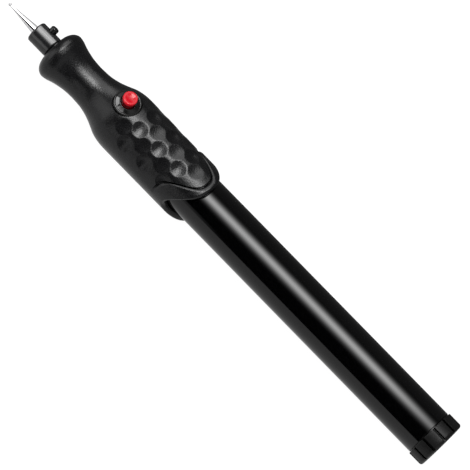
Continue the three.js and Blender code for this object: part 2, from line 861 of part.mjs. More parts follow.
function endBell() {
  const front = motorEnd + seatGap;
  const end = front + bellLength;
  const pocket = end - motorWall;
  const hole = motorShaftRadius + slideGap;
  const body = withFlats(
    turned([
      [pocket, 0], [pocket, hole], [front, hole], [front, motorRadius - slideGap],
      [end, motorRadius - slideGap], [end, 0],
    ], largeSides),
    motorFlat - slideGap,
  );
  const slots = [1, -1].map((side) => {
    const near = brushInner - fineGap;
    const far = brushInner + brushThickness + fineGap;
    const tall = brushHeight / 2 + fineGap;
    const span = side > 0 ? [near, far] : [-far, -near];
    return block(front - cutOverrun, end + cutOverrun, ...span, -tall, tall);
  });
  return cut(body, ...slots);
}

function brush(side) {
  const span = [brushInner, brushInner + brushThickness];
  if (side < 0) span.reverse();
  const front = commutatorFront + fineGap;
  return block(front, bellEnd + brushTail, side * span[0], side * span[1], -brushHeight / 2, brushHeight / 2);
}

// Switch and button
const bezelTop = gripBase(buttonAt) + bezelProud;
const buttonTop = bezelTop + buttonProud;
const switchBottom = spindleRadius + switchRoom;
const cavityRadius = switchRadius - switchWall;
const cavityFloor = switchBottom + switchFloor;
const switchTop = bezelTop - bezelHeight - seatGap;
const buttonFoot = switchTop - buttonFlangeHeight;
const stemFoot = buttonFoot - stemLength;
const bridgeTop = stemFoot - fineGap;
const bridgeFoot = bridgeTop - bridgeThickness;

function pinHole(side, gap) {
  const near = pinOffset - pinThickness / 2 - gap;
  const far = pinOffset + pinThickness / 2 + gap;
  const span = side > 0 ? [near, far] : [-far, -near];
  const half = pinWidth / 2 + gap;
  const low = switchBottom - (gap ? cutOverrun : pinTail);
  const high = bridgeFoot - buttonTravel - fineGap;
  return block(buttonAt - half, buttonAt + half, ...span, low, high);
}

function switchBody() {
  const cup = upright([
    [cavityFloor, 0], [cavityFloor, cavityRadius], [switchTop, cavityRadius], [switchTop, switchRadius],
    [switchBottom, switchRadius], [switchBottom, 0],
  ]);
  return cut(cup, pinHole(1, fineGap), pinHole(-1, fineGap));
}

function switchBezel() {
  const inner = buttonRadius + slideGap;
  const foot = bezelTop - bezelHeight;
  const shoulder = bezelTop - bezelSlope;
  return upright([
    [foot, inner], [bezelTop - bezelRound, inner], [bezelTop, inner + bezelRound],
    [shoulder, bezelRadius - bezelRound], [shoulder - bezelRound, bezelRadius],
    [foot, bezelRadius], [foot, inner],
  ]);
}

function buttonCap() {
  const flange = buttonRadius + buttonFlange;
  return upright([
    [stemFoot, 0], [stemFoot, stemRadius], [buttonFoot, stemRadius], [buttonFoot, flange],
    [switchTop, flange], [switchTop, buttonRadius],
    [buttonTop - buttonRound, buttonRadius], [buttonTop, buttonRadius - buttonRound],
    [buttonTop - buttonDish, buttonRadius / 2], [buttonTop - buttonDish, 0],
  ]);
}

function contactBridge() {
  return upright([[bridgeFoot, 0], [bridgeFoot, bridgeRadius], [bridgeTop, bridgeRadius], [bridgeTop, 0]]);
}

function buttonSpring() {
  const radius = (bridgeRadius + cavityRadius) / 2;
  const low = cavityFloor + fineGap + buttonWireRadius;
  const high = buttonFoot - fineGap - buttonWireRadius;
  const place = (height, x, y) => new THREE.Vector3(buttonAt + x, y, low + height);
  const helix = new Helix(radius, high - low, buttonCurls, place);
  return spring("button_spring", helix, buttonWireRadius, buttonCurls);
}

// Battery cells, with the raised pole towards the tip
function batteryCell(front) {
  const shoulder = front + nubHeight;
  const end = front + cellLength;
  return turned([
    [front, 0], [front, nubRadius], [shoulder, nubRadius], [shoulder, cellRadius - cellRim],
    [shoulder + cellRim, cellRadius], [end - cellRim, cellRadius], [end, cellRadius - cellRim], [end, 0],
  ]);
}

const tabOffset = contactRadius - tabThickness;
const stripLow = -tubeInner + seatGap / 2;

function tabSlot(gap) {
  const half = tabWidth / 2 + gap;
  const front = carrierAt - tabThickness - (gap ? cutOverrun : 0);
  return block(front, contactFront + contactThickness / 2, tabOffset - gap, contactRadius + gap, -half, half);
}

function contactCarrier() {
  const disc = rod(carrierAt, carrierAt + carrierThickness, tubeInner - slideGap, fineGap, mediumSides);
  const half = stripWidth / 2 + seatGap;
  const notch = block(
    carrierAt - cutOverrun, contactFront + cutOverrun, -half, half,
    -tubeRadius, stripLow + stripThickness + seatGap,
  );
  return cut(disc, tabSlot(slideGap), notch);
}

function positiveContact() {
  const end = contactFront + contactThickness;
  return join(rod(contactFront, end, contactRadius + fineGap, contactThickness / 4), tabSlot(0));
}

// A flat strip along the bottom of the tube, folded out over the rim of its neck
function groundStrip() {
  const half = stripWidth / 2;
  const fold = neckEnd + slideGap;
  const foldEnd = fold + stripThickness;
  return join(
    block(stripFront, foldEnd, -half, half, stripLow, stripLow + stripThickness),
    block(fold, foldEnd, -half, half, stripLow - stripFold, stripLow + stripThickness),
  );
}

function tailContact() {
  const end = tailContactFront + tailContactThickness;
  return rod(tailContactFront, end, capBore - seatGap, fineGap, mediumSides);
}

function tailSpring() {
  const front = rearCellEnd + fineGap + tailWireRadius;
  const end = tailContactFront - fineGap - tailWireRadius;
  const place = (reach, y, z) => new THREE.Vector3(front + reach, y, z);
  const helix = new Helix(tailSpringRadius, end - front, tailCurls, place);
  return spring("tail_spring", helix, tailWireRadius, tailCurls);
}

// Wires: from the switch back along the motor's flats, and from the motor down to the strip
const flatLane = (motorFlat + tubeInner) / 2;

function sideWire(side, ending) {
  const pinFoot = switchBottom - pinTail;
  const pinFace = pinOffset + pinThickness / 2 + seatGap;
  const route = [
    [buttonAt, pinFace + wireRadius, pinFoot - wireRadius],
    [buttonAt + pinWidth, pinFace + pinWidth, pinFoot / 2],
    [THREE.MathUtils.lerp(buttonAt, tubeFront, 0.6), THREE.MathUtils.lerp(pinFace, flatLane, 0.85), 0],
    [tubeFront, flatLane, 0],
    [motorFront, flatLane, 0],
    [THREE.MathUtils.lerp(motorFront, motorEnd, 0.5), flatLane, 0],
    [motorEnd, flatLane, 0],
    [bellEnd, flatLane, 0],
    ...ending,
  ];
  const points = route.map(([x, y, z]) => new THREE.Vector3(x, side * y, z));
  return along(new THREE.CatmullRomCurve3(points, false, "centripetal"), wireRadius, wireSides, 20);
}

function batteryWire() {
  const tabFace = carrierAt - tabThickness;
  const middle = (tabOffset + contactRadius) / 2;
  return sideWire(1, [
    [(bellEnd + tabFace) / 2, (flatLane + middle) / 2 + wireRadius, 0],
    [tabFace - slideGap, middle + wireRadius, 0],
  ]);
}

function motorWire() {
  const terminal = brushInner + brushThickness + slideGap;
  return sideWire(-1, [
    [bellEnd + wireRadius * 2, flatLane - wireRadius, 0],
    [bellEnd + wireRadius * 3, terminal, 0],
  ]);
}

function groundWire() {
  const start = new THREE.Vector3(bellEnd + brushTail / 2, brushInner, -brushHeight / 2 - seatGap);
  const end = new THREE.Vector3(stripFront + wireRadius, wireRadius, stripLow + stripThickness + seatGap);
  const middle = start.clone().lerp(end, 0.5).add(new THREE.Vector3(0, wireRadius, 0));
  return along(new THREE.CatmullRomCurve3([start, middle, end]), wireRadius, wireSides, 6);
}

// Working end
piece("engraving_bit", engravingBit(), steel);
piece("chuck", chuck(), darkMetal);
piece("clamp_screw", clampScrew(), darkMetal);

// Drive
piece("front_bush", ring(bushFront, bushEnd, bushBore, bushRadius, bushChamfer), bronze);
piece("spindle", rod(spindleFront, spindleEnd, spindleRadius, fineGap), steel);
piece("shaft_coupling", shaftCoupling(), aluminium);
piece("motor_shaft", rod(shaftFront, motorEnd + seatGap + slideGap, motorShaftRadius, fineGap), steel);
piece("armature_core", armatureCore(), steel);
for (let i = 0; i < 3; i += 1) piece(`winding_${i + 1}`, winding(i), copper);
piece("commutator", motorRing(commutatorFront, commutatorEnd, commutatorRadius), copper);

// Motor
piece("motor_can", motorCan(), steel);
piece("motor_bushing", motorRing(motorFront - slideGap, motorFront + motorBushLength, motorBushRadius), brass);
piece("magnet_upper", magnet(0), ferrite);
piece("magnet_lower", magnet(Math.PI), ferrite);
piece("motor_end_bell", endBell(), hardBlack);
piece("brush_left", brush(1), brass);
piece("brush_right", brush(-1), brass);

// Body
piece("housing_left", housingHalf(1), hardBlack);
piece("housing_right", housingHalf(-1), hardBlack);
piece("grip_sleeve", gripSleeve(), softBlack);
piece("battery_tube", batteryTube(), glossBlack);

// Switch
piece("switch_body", switchBody(), hardBlack);
piece("switch_bezel", switchBezel(), glossBlack);
piece("button_cap", buttonCap(), red);
piece("contact_bridge", contactBridge(), brass);
piece("button_spring", buttonSpring(), steel);
piece("switch_contact_left", pinHole(1, 0), brass);
piece("switch_contact_right", pinHole(-1, 0), brass);

// Power
piece("contact_carrier", contactCarrier(), hardBlack);
piece("positive_contact", positiveContact(), brass);
piece("battery_cell_front", batteryCell(frontCellAt), paleJacket);
piece("battery_cell_rear", batteryCell(rearCellAt), paleJacket);
piece("ground_strip", groundStrip(), brass);
piece("tail_spring", tailSpring(), steel);
piece("tail_contact", tailContact(), brass);
piece("end_cap", endCap(), satinBlack);

// Wires
piece("battery_wire", batteryWire(), redWire);
piece("motor_wire", motorWire(), redWire);
piece("ground_wire", groundWire(), blackWire);

const object = new THREE.Group();
object.add(pen);

export default object;
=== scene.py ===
"""Electric engraving pen, dressed over its CAD frame.

Lengths are in millimetres. Places along the pen count from the tip of the bit, heights from the pen's axis.
"""

import json
import math
from functools import reduce

import bmesh
import bpy
import numpy as np
from mathutils import Matrix, Vector


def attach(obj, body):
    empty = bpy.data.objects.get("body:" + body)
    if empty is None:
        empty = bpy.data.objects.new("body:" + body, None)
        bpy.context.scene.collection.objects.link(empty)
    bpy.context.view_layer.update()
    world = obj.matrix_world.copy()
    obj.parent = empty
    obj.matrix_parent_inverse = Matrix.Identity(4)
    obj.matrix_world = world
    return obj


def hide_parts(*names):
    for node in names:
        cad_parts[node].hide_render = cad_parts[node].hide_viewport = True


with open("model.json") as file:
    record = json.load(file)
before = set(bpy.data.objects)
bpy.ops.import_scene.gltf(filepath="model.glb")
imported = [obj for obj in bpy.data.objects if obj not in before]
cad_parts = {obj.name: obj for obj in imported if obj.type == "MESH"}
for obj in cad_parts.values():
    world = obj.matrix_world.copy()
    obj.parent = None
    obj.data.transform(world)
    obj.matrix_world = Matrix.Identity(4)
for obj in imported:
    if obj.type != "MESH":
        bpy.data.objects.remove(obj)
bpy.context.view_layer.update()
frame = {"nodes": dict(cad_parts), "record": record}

MM = 0.001
# In metres, as the meshes are
WELD_DISTANCE = 1e-7
QUARTER_TURN = math.pi / 2
FULL_TURN = 2 * math.pi

# The pen's axis stands this high above the surface that the grip rests on
AXIS_HEIGHT = 9.29127
# Room between two pieces, and the small bevel on the edges of the grip
PLAY = 0.15
BEVEL = 0.12

# Lengths along the pen
BIT_REACH = 10.68
SHANK_DEPTH = 12.0
SCREW_SETBACK = 3.7
CHUCK_HEAD_LENGTH = 7.0
CHUCK_NECK_LENGTH = 13.5
CHUCK_GAP = 0.3
NOSE_DEPTH = 2.95
WAIST_LENGTH = 10.25
SHOULDER_LENGTH = 15.95
PAD_SIDE_LENGTH = 18.27
BAND_SIDE_LENGTH = 4.8
BUTTON_SETBACK = 2.93
TUBE_SETBACK = 1.4
TUBE_LENGTH = 116.87
NECK_LENGTH = 2.5
NECK_GAP = 0.9
CAP_WALL = 1.4

# Places along the pen
CHUCK_FRONT = BIT_REACH
BIT_END = CHUCK_FRONT + SHANK_DEPTH
SCREW_AT = CHUCK_FRONT + SCREW_SETBACK
CHUCK_HEAD_END = CHUCK_FRONT + CHUCK_HEAD_LENGTH
CHUCK_END = CHUCK_HEAD_END + CHUCK_NECK_LENGTH
NOSE_FRONT = CHUCK_HEAD_END + CHUCK_GAP
LIP_AT = NOSE_FRONT + NOSE_DEPTH
WAIST_AT = LIP_AT + WAIST_LENGTH
SHOULDER_END = WAIST_AT + SHOULDER_LENGTH
PAD_SIDE_END = SHOULDER_END + PAD_SIDE_LENGTH
BAND_SIDE_END = PAD_SIDE_END + BAND_SIDE_LENGTH
BUTTON_AT = SHOULDER_END - BUTTON_SETBACK
TUBE_FRONT = SHOULDER_END + TUBE_SETBACK
TUBE_END = TUBE_FRONT + TUBE_LENGTH
NECK_END = TUBE_END + NECK_LENGTH
CAP_INNER_END = NECK_END + NECK_GAP
PEN_LENGTH = CAP_INNER_END + CAP_WALL

# Radii
SHANK_RADIUS = 1.175
CHUCK_RADIUS = 3.2
CHUCK_NECK = 2.3
NOSE_HOLE = 3.0
NOSE_FACE = 4.0
WAIST_RADIUS = 5.75
LIP_RADIUS = 7.6
GRIP_RADIUS = 9.29
TUBE_INNER = 5.8
TUBE_RADIUS = 7.25
NECK_RADIUS = 6.3
CAP_RADIUS = 7.65
CAP_BORE = 6.98

# How finely small and middling round pieces are divided
SMALL_SEGMENTS = 64
ROUND_SEGMENTS = 128


# Geometry helpers
def place(points):
    """Pen coordinates (distance from the tip, y, height from the axis) to the frame in metres."""
    out = np.array(points, dtype=float)
    out[:, 0] -= PEN_LENGTH / 2
    out[:, 2] += AXIS_HEIGHT
    return out * MM


def soften(obj, sharp):
    """Smooth shading, apart from edges that turn by more than sharp degrees."""
    mesh = obj.data
    mesh.polygons.foreach_set("use_smooth", [True] * len(mesh.polygons))
    mesh.set_sharp_from_angle(angle=math.radians(sharp))
    mesh.update()


def solid(name, points, faces, sharp=35):
    mesh = bpy.data.meshes.new(name)
    mesh.from_pydata(place(points).tolist(), [], faces)
    bm = bmesh.new()
    bm.from_mesh(mesh)
    bmesh.ops.remove_doubles(bm, verts=bm.verts, dist=WELD_DISTANCE)
    bmesh.ops.recalc_face_normals(bm, faces=bm.faces)
    bm.to_mesh(mesh)
    bm.free()
    obj = bpy.data.objects.new(name, mesh)
    bpy.context.scene.collection.objects.link(obj)
    soften(obj, sharp)
    return obj


def grid_faces(rows, columns):
    """The faces of a grid of points that is closed both ways."""
    faces = []
    for row in range(rows):
        below = (row + 1) % rows
        for column in range(columns):
            right = (column + 1) % columns
            faces.append((row * columns + column, below * columns + column,
                          below * columns + right, row * columns + right))
    return faces


def between(start, stop, count):
    """Evenly spaced values after start, the last one at stop."""
    return [start + (stop - start) * i / count for i in range(1, count + 1)]


def pen_ring(at, radius, angles):
    """A ring about the pen's axis; the angle runs from the top towards the near side."""
    at = np.broadcast_to(at, angles.shape)
    radius = np.broadcast_to(radius, angles.shape)
    return np.stack([at, -radius * np.sin(angles), radius * np.cos(angles)], axis=1)


def button_ring(height, radius, angles):
    """A ring about the button's upright axis."""
    return np.stack([BUTTON_AT + radius * np.cos(angles), radius * np.sin(angles),
                     np.full(angles.shape, float(height))], axis=1)


# A corner's rounding takes at most this share of the shorter side
CORNER_SHARE = 0.49


def rounded(profile, steps=5):
    """Rounds the corners of a closed profile; each point is (a, b) or (a, b, corner radius)."""
    out = []
    count = len(profile)
    for i, point in enumerate(profile):
        here = Vector(point[:2])
        radius = point[2] if len(point) > 2 else 0
        if not radius:
            out.append(tuple(here))
            continue
        before = Vector(profile[(i - 1) % count][:2]) - here
        after = Vector(profile[(i + 1) % count][:2]) - here
        reach = min(radius, before.length * CORNER_SHARE, after.length * CORNER_SHARE)
        start = here + before.normalized() * reach
        end = here + after.normalized() * reach
        for k in range(steps + 1):
            t = k / steps
            out.append(tuple(start * (1 - t) ** 2 + here * 2 * t * (1 - t) + end * t ** 2))
    return out


def lathe(name, profile, segments, ring=pen_ring):
    """A closed profile of (distance, radius) turned about an axis, which the ring function sets."""
    angles = np.linspace(0, FULL_TURN, segments, endpoint=False)
    rings = [ring(at, radius, angles) for at, radius in profile]
    return solid(name, np.concatenate(rings), grid_faces(len(profile), segments))


def plug(start, end, radius):
    """The profile of a plain round plug."""
    return [(start, 0), (start, radius), (end, radius), (end, 0)]


def carve(obj, tool, sharp=35):
    """Cuts tool out of obj, and removes tool."""
    cutter = obj.modifiers.new("carve", "BOOLEAN")
    cutter.operation = "DIFFERENCE"
    cutter.solver = "EXACT"
    cutter.object = tool
    graph = bpy.context.evaluated_depsgraph_get()
    mesh = bpy.data.meshes.new_from_object(obj.evaluated_get(graph))
    obj.modifiers.clear()
    old = obj.data
    obj.data = mesh
    bpy.data.meshes.remove(old)
    mesh.name = obj.name
    bpy.data.objects.remove(tool)
    soften(obj, sharp)
    return obj


def merge(obj, other):
    """Adds the mesh of other to obj, and removes other."""
    bm = bmesh.new()
    bm.from_mesh(obj.data)
    bm.from_mesh(other.data)
    bm.to_mesh(obj.data)
    bm.free()
    bpy.data.objects.remove(other)
    return obj


def smoothstep(value, low, high):
    """Rises smoothly from 0 to 1 while value goes from low to high."""
    t = np.clip((value - low) / (high - low), 0, 1)
    return t * t * (3 - 2 * t)


# Grip
GRIP_WALL = 1.5
GRIP_EDGE_ROUND = 0.9
# Its outline before and behind the waist, as shares of the length and of the rise between the two radii
NOSE_SHARES = [(0, 1), (0.14, 0.86), (0.3, 0.56), (0.46, 0.33), (0.63, 0.145), (0.8, 0.04), (1, 0)]
SHOULDER_SHARES = [
    (0, 0), (0.18, 0.045), (0.285, 0.118), (0.39, 0.238), (0.494, 0.4), (0.598, 0.6),
    (0.703, 0.796), (0.807, 0.916), (0.911, 0.98), (1, 1),
]
# The nose's flat face up to its round: distance behind the front, depth below the face's radius
NOSE_EDGE = [(0, 0.2), (0.02, 0.06)]

# The band behind the pads is longest at the top and the bottom
BAND_REACH = 7.3
BAND_POWER = 3
# The pad is longest at the top, and fades towards the side of the grip
PAD_REACH = 9.7
PAD_HALF_TURN = 40.5
PAD_POWER = 2.8
PAD_FADE = (66, 90)
PAD_SUNK = 0.25
# The groove and lip behind the pad: distance from its rear edge, and depth
PAD_GROOVE = [
    (0.04, 0.46), (0.1, 0.7), (0.4, 0.7), (0.52, 0.56), (0.7, 0.4),
    (0.92, 0.25), (1.15, 0.13), (1.45, 0.04), (1.8, 0),
]

DIMPLE_RADIUS = 2.45
DIMPLE_PITCH = 7.47
DIMPLE_SINK = 0.5
DIMPLE_POWER = 1.3
# Degrees from the top, share of a pitch to the first dimple, share of the full depth
DIMPLE_ROWS = [(0, 1.16, 0.6), (18.2, 0.66, 1), (35, 0.16, 0.64), (56, 0.62, 0.9)]
DIMPLES_IN_ROW = 3

# How finely the grip is divided, round the pen and along each stretch
GRIP_COLUMNS = 288
NOSE_RINGS = 24
WAIST_RINGS = 60
SHOULDER_RINGS = 80
PAD_RINGS = 130
BAND_RINGS = 12
EDGE_RINGS = 10
INNER_WAIST_RINGS = 12
INNER_SHOULDER_RINGS = 24
# Edges that turn by more degrees than this are drawn sharp
GRIP_SHARP = 50
# The well for the collar: the heights of its floor and of the top of the tool that cuts it
WELL_FLOOR = 1.9
WELL_TOOL_END = 20
WELL_SEGMENTS = 96


def smooth(table, share):
    """A smooth curve through the table's points, as the CAD source draws it."""
    share = np.clip(np.asarray(share, dtype=float), 0, 1)
    out = np.full(share.shape, float(table[0][1]))
    for i in range(len(table) - 1):
        x1, y1 = table[i]
        x2, y2 = table[i + 1]
        x0, y0 = table[max(i - 1, 0)]
        x3, y3 = table[min(i + 2, len(table) - 1)]
        width = x2 - x1
        slope1 = (y2 - y0) / (x2 - x0) * width
        slope2 = (y3 - y1) / (x3 - x1) * width
        s = (share - x1) / width
        rise = y2 - y1
        value = y1 + s * (slope1 + s * (3 * rise - 2 * slope1 - slope2 + s * (slope1 + slope2 - 2 * rise)))
        out = np.where((share > x1) & (share <= x2), value, out)
    return out


def grip_base(at):
    """The grip's radius without its pads."""
    at = np.asarray(at, dtype=float)
    nose_share = np.clip((LIP_AT - at) / NOSE_DEPTH, 0, 1)
    nose = NOSE_FACE + (LIP_RADIUS - NOSE_FACE) * np.sqrt(1 - nose_share ** 2)
    front_share = (at - LIP_AT) / (WAIST_AT - LIP_AT)
    front = WAIST_RADIUS + (LIP_RADIUS - WAIST_RADIUS) * smooth(NOSE_SHARES, front_share)
    rear_share = (at - WAIST_AT) / (SHOULDER_END - WAIST_AT)
    rear = WAIST_RADIUS + (GRIP_RADIUS - WAIST_RADIUS) * smooth(SHOULDER_SHARES, rear_share)
    return np.where(at <= LIP_AT, nose, np.where(at <= WAIST_AT, front, rear))


def grip_inner(at):
    return np.minimum(grip_base(at) - GRIP_WALL, TUBE_RADIUS + PLAY)


def from_top(angle):
    return np.abs(np.degrees(np.arctan2(np.sin(angle), np.cos(angle))))


def grip_end(angle):
    return BAND_SIDE_END + BAND_REACH * (1 - np.abs(np.sin(angle)) ** BAND_POWER)


def pad_end(angle):
    return PAD_SIDE_END + PAD_REACH * np.exp(-((from_top(angle) / PAD_HALF_TURN) ** PAD_POWER))


def pad_fade(angle):
    return 1 - smoothstep(from_top(angle), *PAD_FADE)


def pad_sunk(at, angle):
    return pad_fade(angle) * PAD_SUNK * smoothstep(at, SHOULDER_END, pad_end(angle))


def dimple_depth(at, angle):
    depth = np.zeros(at.shape)
    for turned, start, share in DIMPLE_ROWS:
        for side in ((-1, 1) if turned else (1,)):
            turn = angle - side * math.radians(turned)
            across = np.arctan2(np.sin(turn), np.cos(turn)) * GRIP_RADIUS
            for i in range(DIMPLES_IN_ROW):
                away = at - SHOULDER_END - (start + i) * DIMPLE_PITCH
                reach = np.minimum(np.hypot(away, across) / DIMPLE_RADIUS, 1)
                depth = np.maximum(depth, DIMPLE_SINK * share * (1 - reach ** 2) ** DIMPLE_POWER)
    return depth


def grip_skin():
    angles = (np.arange(GRIP_COLUMNS) + 0.5) / GRIP_COLUMNS * FULL_TURN
    pads = pad_end(angles)
    edges = grip_end(angles)
    fade = pad_fade(angles)
    rows = []

    def row(at, radius):
        rows.append(pen_ring(at, radius, angles))

    row(NOSE_FRONT + BEVEL, NOSE_HOLE)
    row(NOSE_FRONT, NOSE_HOLE + BEVEL)
    for away, sink in NOSE_EDGE:
        row(NOSE_FRONT + away, NOSE_FACE - sink)
    for turn in between(0, QUARTER_TURN, NOSE_RINGS):
        at = LIP_AT - NOSE_DEPTH * math.cos(turn)
        row(at, grip_base(at))
    for at in (between(LIP_AT, WAIST_AT, WAIST_RINGS) + between(WAIST_AT, SHOULDER_END, SHOULDER_RINGS)
               + between(SHOULDER_END, pads, PAD_RINGS)):
        at = np.broadcast_to(at, angles.shape)
        row(at, grip_base(at) - dimple_depth(at, angles) - pad_sunk(at, angles))
    for away, sink in PAD_GROOVE:
        row(pads + away, GRIP_RADIUS - fade * sink)
    for at in between(pads + PAD_GROOVE[-1][0], edges - GRIP_EDGE_ROUND, BAND_RINGS):
        row(at, GRIP_RADIUS)
    for turn in between(0, QUARTER_TURN, EDGE_RINGS):
        at = edges - GRIP_EDGE_ROUND * (1 - math.sin(turn))
        row(at, GRIP_RADIUS - GRIP_EDGE_ROUND * (1 - math.cos(turn)))
    row(edges, TUBE_RADIUS + PLAY + BEVEL)
    row(edges - BEVEL, TUBE_RADIUS + PLAY)
    wall_end = NOSE_FRONT + GRIP_WALL
    inside = [wall_end, LIP_AT]
    inside += between(LIP_AT, WAIST_AT, INNER_WAIST_RINGS)
    inside += between(WAIST_AT, SHOULDER_END, INNER_SHOULDER_RINGS)
    for at in reversed(inside):
        row(at, grip_inner(at))
    row(wall_end, NOSE_HOLE)

    faces = grid_faces(len(rows), GRIP_COLUMNS)
    obj = solid("grip_skin", np.concatenate(rows), faces, GRIP_SHARP)
    well = BEZEL_RADIUS + PLAY
    tool = lathe("well", plug(WELL_FLOOR, WELL_TOOL_END, well), WELL_SEGMENTS, button_ring)
    return carve(obj, tool, GRIP_SHARP)


# Bit
BALL_RADIUS = 0.45
THROAT_RADIUS = 0.28
THROAT_END = 1.1
TAPER_END = 9.88
SHANK_BEVEL = 0.15
BALL_RINGS = 14


def bit():
    profile = []
    for angle in [0] + between(0, math.pi - math.asin(THROAT_RADIUS / BALL_RADIUS), BALL_RINGS):
        profile.append((BALL_RADIUS * (1 - math.cos(angle)), BALL_RADIUS * math.sin(angle)))
    profile += [
        (THROAT_END, THROAT_RADIUS), (TAPER_END, SHANK_RADIUS), (BIT_END - SHANK_BEVEL, SHANK_RADIUS),
        (BIT_END, SHANK_RADIUS - SHANK_BEVEL), (BIT_END, 0),
    ]
    return lathe("engraving_bit_fine", profile, SMALL_SEGMENTS)


# Chuck: the bevel of its head and neck, and the rounding of the two edges of each bevel on the head
CHUCK_BEVEL = 0.35
BEVEL_FACE_ROUND = 0.12
BEVEL_SIDE_ROUND = 0.25
CHUCK_MOUTH_ROUND = 0.15
# The bit's bore ends behind the shank, and the spindle's bore starts behind that
BIT_BORE_OVER = 0.3
SPINDLE_BORE_OVER = 2.3
SPINDLE_BORE = 1.15

# Clamp screw, which leans by some degrees from the top towards the far side
SCREW_LEAN = math.radians(49)
SCREW_RADIUS = 1.2
SCREW_BEVEL = 0.3
SCREW_TOP_ROUND = 0.25
SCREW_PROUD = 1.45
SCREW_TIP_GAP = 0.3
SCREW_TOOL_END = 5
SOCKET_SIDES = 6
SOCKET_RADIUS = 0.65
SOCKET_FLARE = 0.1
SOCKET_MOUTH = 0.02
SOCKET_DEPTH = 1


def screw_ring(reach, radius, angles):
    """A ring about the clamp screw's axis."""
    out = np.array([0, math.sin(SCREW_LEAN), math.cos(SCREW_LEAN)])
    side = np.array([0, math.cos(SCREW_LEAN), -math.sin(SCREW_LEAN)])
    along = np.array([1.0, 0, 0])
    centre = np.array([SCREW_AT, 0, 0]) + out * reach
    return centre + radius * (np.outer(np.cos(angles), along) + np.outer(np.sin(angles), side))


def chuck():
    bore = SHANK_RADIUS + PLAY
    bore_end = BIT_END + BIT_BORE_OVER
    spindle_front = BIT_END + SPINDLE_BORE_OVER
    face = CHUCK_RADIUS - CHUCK_BEVEL
    body = lathe("chuck_fine", rounded([
        (bore_end, 0), (bore_end, bore), (CHUCK_FRONT, bore, CHUCK_MOUTH_ROUND),
        (CHUCK_FRONT, face, BEVEL_FACE_ROUND), (CHUCK_FRONT + CHUCK_BEVEL, CHUCK_RADIUS, BEVEL_SIDE_ROUND),
        (CHUCK_HEAD_END - CHUCK_BEVEL, CHUCK_RADIUS, BEVEL_SIDE_ROUND),
        (CHUCK_HEAD_END, face, BEVEL_FACE_ROUND), (CHUCK_HEAD_END, CHUCK_NECK),
        (CHUCK_END - CHUCK_BEVEL, CHUCK_NECK), (CHUCK_END, CHUCK_NECK - CHUCK_BEVEL),
        (CHUCK_END, SPINDLE_BORE), (spindle_front, SPINDLE_BORE), (spindle_front, 0),
    ]), ROUND_SEGMENTS)
    hole = SCREW_RADIUS + PLAY
    tool = lathe("hole", plug(bore / 2, SCREW_TOOL_END, hole), SMALL_SEGMENTS, screw_ring)
    return carve(body, tool)


def clamp_screw():
    foot = SHANK_RADIUS + SCREW_TIP_GAP
    top = CHUCK_RADIUS + SCREW_PROUD
    face = SCREW_RADIUS - SCREW_BEVEL
    body = lathe("clamp_screw_fine", rounded([
        (foot, 0), (foot, face), (foot + SCREW_BEVEL, SCREW_RADIUS),
        (top - SCREW_BEVEL, SCREW_RADIUS, SCREW_BEVEL), (top, face, SCREW_TOP_ROUND), (top, 0),
    ]), SMALL_SEGMENTS, screw_ring)
    socket = lathe("socket", [
        (top - SOCKET_DEPTH, 0), (top - SOCKET_DEPTH, SOCKET_RADIUS), (top - SOCKET_MOUTH, SOCKET_RADIUS),
        (top + SOCKET_DEPTH, SOCKET_RADIUS + SOCKET_FLARE), (top + SOCKET_DEPTH, 0),
    ], SOCKET_SIDES, screw_ring)
    return carve(body, socket)


# Battery tube and end cap
TUBE_ROUND = 0.25
TUBE_SEGMENTS = 192
NECK_ROUND = 0.1

# One turn of thread on the tube's neck and in the cap
THREAD_STEPS = 96
THREAD_PITCH = 1.4
THREAD_SETBACK = 0.6
THREAD_SINK = 0.05
RIB_FOOT_HALF = 0.35
RIB_CREST_HALF = 0.15
NECK_RIB_HEIGHT = 0.38
CAP_RIB_HEIGHT = 0.48
# The rib runs out into its wall over the first and the last twelfth of its turn
RUN_OUT_PARTS = 12

CAP_GAP = 0.12
CAP_REAR_ROUND = 0.8
CAP_SHARP = 40
# The cap's front edge and its mouth: distance behind the front, distance from the side or from the bore
CAP_FRONT_EDGE = [(0.02, 0.22), (0, 0.14), (0.04, 0.05), (0.14, 0)]
CAP_MOUTH_EDGE = [(0.1, 0), (0.02, 0.08)]
CAP_END_RADII = (6.0, 3.0, 0)
CAP_SIDE_RINGS = 8
CAP_ROUND_RINGS = 12
CAP_GROOVES = 12
CAP_GROOVE_COLUMNS = 30
CAP_GROOVE_PHASE = math.radians(15)
CAP_GROOVE_DEPTH = 0.55
CAP_GROOVE_WALL = (0.3, 0.42)


def thread(foot, crest, phase=0.0):
    """One turn of a helical rib about the pen's axis."""
    section = [(foot, -RIB_FOOT_HALF), (crest, -RIB_CREST_HALF),
               (crest, RIB_CREST_HALF), (foot, RIB_FOOT_HALF)]
    points, faces = [], []
    for step in range(THREAD_STEPS + 1):
        turn = step / THREAD_STEPS
        angle = turn * FULL_TURN + phase
        fade = min(1, turn * RUN_OUT_PARTS, (1 - turn) * RUN_OUT_PARTS)
        for radius, offset in section:
            r = foot + (radius - foot) * fade
            at = TUBE_END + THREAD_SETBACK + turn * THREAD_PITCH + offset
            points.append((at, -r * math.sin(angle), r * math.cos(angle)))
    corners = len(section)
    for step in range(THREAD_STEPS):
        for side in range(corners):
            here = step * corners + side
            beside = step * corners + (side + 1) % corners
            faces.append((here, beside, beside + corners, here + corners))
    last = THREAD_STEPS * corners
    faces += [tuple(reversed(range(corners))), tuple(range(last, last + corners))]
    return solid("rib", points, faces)


